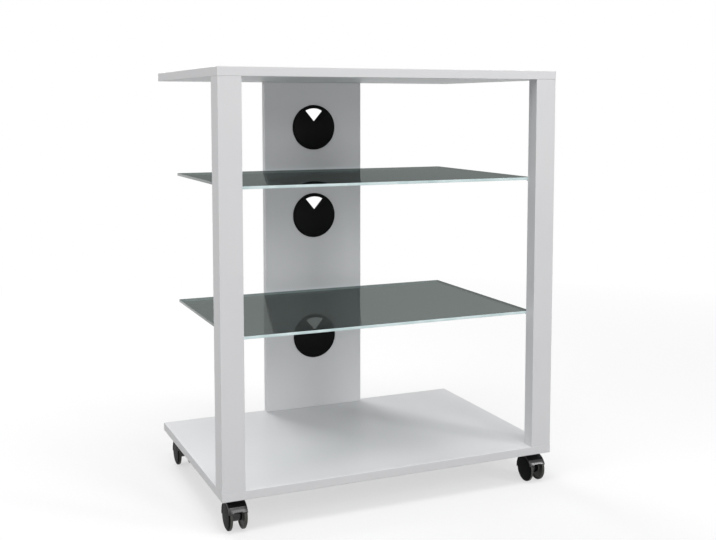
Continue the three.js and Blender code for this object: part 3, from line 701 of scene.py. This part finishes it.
NYLON_GRAIN_MM = 1.1
TREAD_DUST_MM = 4
TREAD_FROM = 22.7
GROOVE_AND_DOME = ((23.2, 1.8), (22.7, 1.5), (22.4, 0.9), (22, 0.6), (18, 0.35), (12, 0.15), (6, 0.03), (0, 0))

# Gloss nylon: almost black, polished by the mould, so lamps show as sharp bright bands on its curve.
gloss_nylon, tree = empty_material("black_gloss_nylon")
place = add_node(tree, "ShaderNodeTexCoord").outputs["Object"]
flow = add_node(tree, "ShaderNodeTexNoise", {"Vector": place, "Scale": per_metre(NYLON_FLOW_MM), "Detail": 2.0})
shine = add_node(tree, "ShaderNodeMapRange", {
    "Value": flow.outputs["Fac"], "From Min": 0.3, "From Max": 0.7, "To Min": 0.14, "To Max": 0.2})
surface = add_node(tree, "ShaderNodeBsdfPrincipled", {
    "Base Color": linear(NYLON_BLACK), "Roughness": shine.outputs["Result"], "IOR": 1.53})
add_node(tree, "ShaderNodeOutputMaterial", {"Surface": surface.outputs["BSDF"]})

# Wheel nylon: near black and satin, with a fine even grain from the mould and hardly any shine.
wheel_nylon, tree = empty_material("black_satin_nylon")
place = add_node(tree, "ShaderNodeTexCoord").outputs["Object"]
grain = add_node(tree, "ShaderNodeTexNoise", {"Vector": place, "Scale": per_metre(NYLON_GRAIN_MM), "Detail": 2.0})
tone = add_node(tree, "ShaderNodeMix", {
    "Factor": grain.outputs["Fac"], "A": linear(DISC_BLACK), "B": linear(DISC_GREY)}, data_type="RGBA")
satin = add_node(tree, "ShaderNodeMapRange", {
    "Value": grain.outputs["Fac"], "From Min": 0.3, "From Max": 0.7, "To Min": 0.34, "To Max": 0.46})
relief = add_node(tree, "ShaderNodeBump", {
    "Height": grain.outputs["Fac"], "Strength": 0.12, "Distance": 0.05 * MM})
surface = add_node(tree, "ShaderNodeBsdfPrincipled", {
    "Base Color": tone.outputs["Result"], "Roughness": satin.outputs["Result"], "IOR": 1.53,
    "Specular IOR Level": 0.02, "Normal": relief.outputs["Normal"]})
add_node(tree, "ShaderNodeOutputMaterial", {"Surface": surface.outputs["BSDF"]})

# Tread: the same nylon rubbed dull by the floor, a slightly olive dark grey with pale dusty clouds. The
# wheels' inner faces take it too, and there it is painted light for the light that falls between the wheels.
worn_tread_and_painted_light, tree = empty_material("worn_nylon_tread_and_painted_light")
place = add_node(tree, "ShaderNodeTexCoord").outputs["Object"]
dust = add_node(tree, "ShaderNodeTexNoise", {"Vector": place, "Scale": per_metre(TREAD_DUST_MM), "Detail": 4.0})
tone = add_node(tree, "ShaderNodeMix", {
    "Factor": dust.outputs["Fac"], "A": linear(TREAD_GREY), "B": linear(TREAD_DUSTY)}, data_type="RGBA")
satin = add_node(tree, "ShaderNodeMapRange", {
    "Value": dust.outputs["Fac"], "From Min": 0.3, "From Max": 0.7, "To Min": 0.4, "To Max": 0.55})
relief = add_node(tree, "ShaderNodeBump", {
    "Height": dust.outputs["Fac"], "Strength": 0.2, "Distance": 0.05 * MM})
surface = add_node(tree, "ShaderNodeBsdfPrincipled", {
    "Base Color": tone.outputs["Result"], "Roughness": satin.outputs["Result"], "IOR": 1.53,
    "Specular IOR Level": 0.25, "Normal": relief.outputs["Normal"]})
add_node(tree, "ShaderNodeOutputMaterial", {"Surface": surface.outputs["BSDF"]})


def hood_shell():
    """The arched hood: a thin shell about the axle with rounded shoulders, and a notch in its lip."""
    half_wall = (HOOD_OUTER - HOOD_INNER) / 2
    middle = (HOOD_OUTER + HOOD_INNER) / 2
    lip_round = math.degrees(half_wall / HOOD_OUTER)
    columns = [(HOOD_HALF_WIDTH - half_wall, SHOULDER_RADIUS - SHELL_END_DROP, 90, SHELL_END_SHARE * half_wall)]
    columns += [(x, radius, 90 - 15 * k, half_wall) for k, (x, radius)
                in enumerate(arc((SHOULDER_X, SHOULDER_RADIUS), middle - SHOULDER_RADIUS, 0, 90, 6))]
    columns += [(NOTCH_HALF_WIDTH + NOTCH_CORNER * (1 - k / 4), middle, 0, half_wall) for k in range(9)]
    columns += [(4, middle, 0, half_wall), (0, middle, 0, half_wall)]
    columns += [(-x, radius, -tilt, half) for x, radius, tilt, half in reversed(columns[:-1])]
    body = bmesh.new()
    loops = []
    for x, radius, tilt, half in columns:
        reach = (NOTCH_HALF_WIDTH + NOTCH_CORNER - abs(x)) / (2 * NOTCH_CORNER)
        reach = min(max(reach, 0), 1)
        lip = HOOD_LIP + HOOD_NOTCH * (3 - 2 * reach) * reach ** 2
        start = lip + lip_round
        sweep = [HOOD_REAR + (start - HOOD_REAR) * i / SWEEP_STEPS for i in range(SWEEP_STEPS + 1)]
        spots = [(1, angle) for angle in sweep]
        spots += [(math.sin(math.radians(bend)), lip + lip_round * (1 - math.cos(math.radians(bend))))
                  for bend in (60, 30, 0, -30, -60)]
        spots += [(-1, angle) for angle in reversed(sweep)]
        across, out = half * math.sin(math.radians(tilt)), half * math.cos(math.radians(tilt))
        loop = []
        for side, angle in spots:
            reach_out, turned_by = radius + side * out, math.radians(angle)
            loop.append(body.verts.new((x + side * across, -reach_out * math.cos(turned_by),
                                        reach_out * math.sin(turned_by))))
        loops.append(loop)
    for one, other in zip(loops, loops[1:]):
        for i in range(len(one)):
            j = (i + 1) % len(one)
            body.faces.new([one[i], one[j], other[j], other[i]])
    for end in (loops[0], loops[-1]):
        for i in range(SWEEP_STEPS):
            body.faces.new([end[i], end[i + 1], end[-2 - i], end[-1 - i]])
        body.faces.new(end[SWEEP_STEPS:-SWEEP_STEPS])
    return body


web_outline = arc((0, 0), HOOD_INNER + WEB_OVERLAP, HOOD_LIP + HOOD_NOTCH + WEB_BACKSET, HOOD_REAR, 40)
web_outline = [(-y, z) for y, z in web_outline + [(0, 0)]]
web = move(plate([web_outline], WEB_THICKNESS, WEB_EDGE), turn(90, "X"), turn(90, "Z"))
hub = turned([(0, -HUB_HALF), (HUB_RADIUS - HUB_EDGE, -HUB_HALF), (HUB_RADIUS, HUB_EDGE - HUB_HALF),
              (HUB_RADIUS, HUB_HALF - HUB_EDGE), (HUB_RADIUS - HUB_EDGE, HUB_HALF), (0, HUB_HALF)], 48)
boss = turned([(0, 0), (BOSS_RADIUS, 0), (BOSS_RADIUS, BOSS_HEIGHT - BOSS_EDGE),
               (BOSS_RADIUS - BOSS_EDGE, BOSS_HEIGHT), (0, BOSS_HEIGHT)], 48)
stem_bore = turned([(0, STEM_BORE_FOOT), (STEM_BORE, STEM_BORE_FOOT), (STEM_BORE, STEM_CUT_TOP),
                    (0, STEM_CUT_TOP)], 32)
axle_bore = turned([(0, -AXLE_CUT_HALF), (AXLE_BORE, -AXLE_CUT_HALF), (AXLE_BORE, AXLE_CUT_HALF),
                    (0, AXLE_CUT_HALF)], 32)
over_stem = shift(0, CASTER_TRAIL, 0)
hood = joined(hood_shell(), [web, move(hub, turn(90, "Y")), move(boss, over_stem)],
              [move(stem_bore, over_stem), move(axle_bore, turn(90, "Y"))])

wheel_profile = [
    (0, WHEEL_OUTER - WHEEL_CAP), (AXLE_BORE, WHEEL_OUTER - WHEEL_CAP), (AXLE_BORE, WHEEL_INNER),
    (HUB_RADIUS, WHEEL_INNER), (DISH_INNER, WHEEL_INNER + DISH_DEPTH), (DISH_OUTER, WHEEL_INNER + DISH_DEPTH),
    (DISH_RIM, WHEEL_INNER),
    *arc((WHEEL_RADIUS - RIM_ROUND, WHEEL_INNER + RIM_ROUND), RIM_ROUND, -90, 0, 4),
    *arc((SHOULDER_RADIUS, SHOULDER_X), WHEEL_RADIUS - SHOULDER_RADIUS, 0, 90, 5),
    *[(radius, WHEEL_OUTER - drop) for radius, drop in GROOVE_AND_DOME],
]
for end in ("front", "rear"):
    for side in ("left", "right"):
        corner = f"{end}_{side}"
        low, high = (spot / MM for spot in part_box(f"caster_{corner}_axle"))
        axle_place = shift(*((low + high) / 2))
        make_piece(f"caster_{corner}_hood_moulded", move(hood.copy(), axle_place), [gloss_nylon],
                   f"caster_{corner}", "hood_plastic", f"caster_{corner}_hood")
        for wheel_side, facing in (("left", -90), ("right", 90)):
            wheel = turned(wheel_profile, 72)
            wheel.normal_update()
            # The tread takes the worn grey, and so do the inner faces between the wheels, where it is painted light.
            for face in wheel.faces:
                middle = face.calc_center_median()
                on_tread = math.hypot(middle.x, middle.y) > TREAD_FROM and abs(face.normal.z) < 0.6
                face.material_index = 1 if on_tread or middle.z < WHEEL_INNER + PAINTED_LIGHT_INNER_DEPTH else 0
            move(wheel, turn(facing, "Y"), axle_place)
            node_name = f"caster_{corner}_wheel_{wheel_side}"
            make_piece(f"{node_name}_moulded", wheel, [wheel_nylon, worn_tread_and_painted_light], node_name, "wheel_plastic",
                       node_name)
        dress(f"caster_{corner}_stem", zinc_steel)
        dress(f"caster_{corner}_axle", zinc_steel)
        dress(f"caster_{corner}_insert", cast_zinc)
hood.free()


# Studio.
# A white floor that keeps the rack's soft shadow and turns pure white away from it, an even white
# surround, and seven soft lamps: three at the front right that the hoods show as bands, a low one and a
# left one for the fronts and the left side, one above and one behind.
FLOOR_HALF = 30
FLOOR_NEAR = 0.8
FLOOR_FAR = 2.4
FLOOR_BOUNCE = "#949494"
AMBIENT = 0.26

floor_mesh = bpy.data.meshes.new("studio_floor")
floor_mesh.from_pydata([(-FLOOR_HALF, -FLOOR_HALF, 0), (FLOOR_HALF, -FLOOR_HALF, 0), (FLOOR_HALF, FLOOR_HALF, 0),
                        (-FLOOR_HALF, FLOOR_HALF, 0)], [], [(0, 1, 2, 3)])
studio_floor = bpy.data.objects.new("studio_floor", floor_mesh)
bpy.context.collection.objects.link(studio_floor)

# Matt white floor: shaded by the rack near it, and plain white to the camera, mirrors and glass far off.
# For the light that it throws back on the rack it is a plain mid grey.
floor_white, tree = empty_material("matt_white_floor")
place = add_node(tree, "ShaderNodeTexCoord").outputs["Object"]
away = add_node(tree, "ShaderNodeVectorMath", {0: place}, operation="LENGTH")
glow = add_node(tree, "ShaderNodeMapRange", {
    "Value": away.outputs["Value"], "From Min": FLOOR_NEAR, "From Max": FLOOR_FAR, "To Min": 0.6, "To Max": 1.0})
path = add_node(tree, "ShaderNodeLightPath")
seen = add_node(tree, "ShaderNodeMath", {0: path.outputs["Is Camera Ray"], 1: path.outputs["Is Glossy Ray"]},
                operation="MAXIMUM")
seen = add_node(tree, "ShaderNodeMath", {0: seen.outputs["Value"], 1: path.outputs["Is Transmission Ray"]},
                operation="MAXIMUM")
share = add_node(tree, "ShaderNodeMath", {0: seen.outputs["Value"], 1: glow.outputs["Result"]},
                 operation="MULTIPLY")
tone = add_node(tree, "ShaderNodeMix", {
    "Factor": seen.outputs["Value"], "A": linear(FLOOR_BOUNCE), "B": linear("#ffffff")}, data_type="RGBA")
matt = add_node(tree, "ShaderNodeBsdfDiffuse", {"Color": tone.outputs["Result"]})
white = add_node(tree, "ShaderNodeEmission", {"Color": linear("#ffffff"), "Strength": 1.0})
surface = add_node(tree, "ShaderNodeMixShader", {
    "Fac": share.outputs["Value"], 1: matt.outputs["BSDF"], 2: white.outputs["Emission"]})
add_node(tree, "ShaderNodeOutputMaterial", {"Surface": surface.outputs["Shader"]})
floor_mesh.materials.append(floor_white)

surround = bpy.data.worlds.new("white_surround")
surround.use_nodes = True
surround.node_tree.nodes.clear()
tree = surround.node_tree
path = add_node(tree, "ShaderNodeLightPath")
seen = add_node(tree, "ShaderNodeMath", {0: path.outputs["Is Camera Ray"], 1: path.outputs["Is Glossy Ray"]},
                operation="MAXIMUM")
seen = add_node(tree, "ShaderNodeMath", {0: seen.outputs["Value"], 1: path.outputs["Is Transmission Ray"]},
                operation="MAXIMUM")
ambient = add_node(tree, "ShaderNodeBackground", {"Color": linear("#ffffff"), "Strength": AMBIENT})
white = add_node(tree, "ShaderNodeBackground", {"Color": linear("#ffffff"), "Strength": 1.0})
sky = add_node(tree, "ShaderNodeMixShader", {
    "Fac": seen.outputs["Value"], 1: ambient.outputs["Background"], 2: white.outputs["Background"]})
add_node(tree, "ShaderNodeOutputWorld", {"Surface": sky.outputs["Shader"]})
bpy.context.scene.world = surround


def softbox(name, place, aim, width, height, power):
    """A rectangular lamp at a place, turned towards a point."""
    lamp = bpy.data.lights.new(name, "AREA")
    lamp.shape = "RECTANGLE"
    lamp.size = width
    lamp.size_y = height
    lamp.energy = power
    holder = bpy.data.objects.new(name, lamp)
    holder.location = place
    holder.rotation_mode = "QUATERNION"
    holder.rotation_quaternion = (Vector(aim) - Vector(place)).to_track_quat("-Z", "Y")
    bpy.context.collection.objects.link(holder)
    return holder


key = softbox("key_softbox", (1.72, -2.08, 1.46), (0.1, -0.2, 0.1), 0.3, 1.0, 12.8)
softbox("fill_softbox", (0.48, -2.22, 1.74), (0, -0.2, 0.1), 0.44, 1.2, 8.4)
softbox("veil_softbox", (0.24, -1.39, 2.5), (-0.3, -0.2, 0), 0.44, 1.2, 3.4)
softbox("low_softbox", (-1.2, -3.0, 0.35), (0, 0, 0.25), 2.4, 0.7, 21.5)
softbox("left_softbox", (-3.0, -0.9, 2.2), (0, 0, 0.5), 1.6, 1.2, 23)
softbox("top_softbox", (0.0, -0.85, 3.5), (0, -0.1, 0.3), 2.0, 1.0, 35)
softbox("rear_softbox", (-0.5, 2.5, 2.3), (0, 0, 0.3), 1.4, 1.0, 48)

# The key lamp is flagged off the two panes, or they would mirror it as a white patch when seen from behind.
flagged = bpy.data.collections.new("flagged_from_key_softbox")
for level in ("lower", "upper"):
    flagged.objects.link(bpy.data.objects[f"{level}_glass_pane"])
for link in flagged.collection_objects:
    link.light_linking.link_state = "EXCLUDE"
key.light_linking.receiver_collection = flagged

# Camera: the viewing place and angle of the photograph, from the front left at the height of the top bay.
lens = bpy.data.cameras.new("photo_view")
lens.sensor_width = 36
lens.lens = 52.27
lens.shift_x = -0.0040
lens.shift_y = -0.1031
camera = bpy.data.objects.new("photo_view", lens)
camera.location = (-0.7862, -1.8588, 0.7226)
camera.rotation_euler = (math.radians(90 - 5), 0, math.radians(-23.491))
bpy.context.collection.objects.link(camera)
bpy.context.scene.camera = camera
bpy.context.scene.view_settings.view_transform = "Standard"
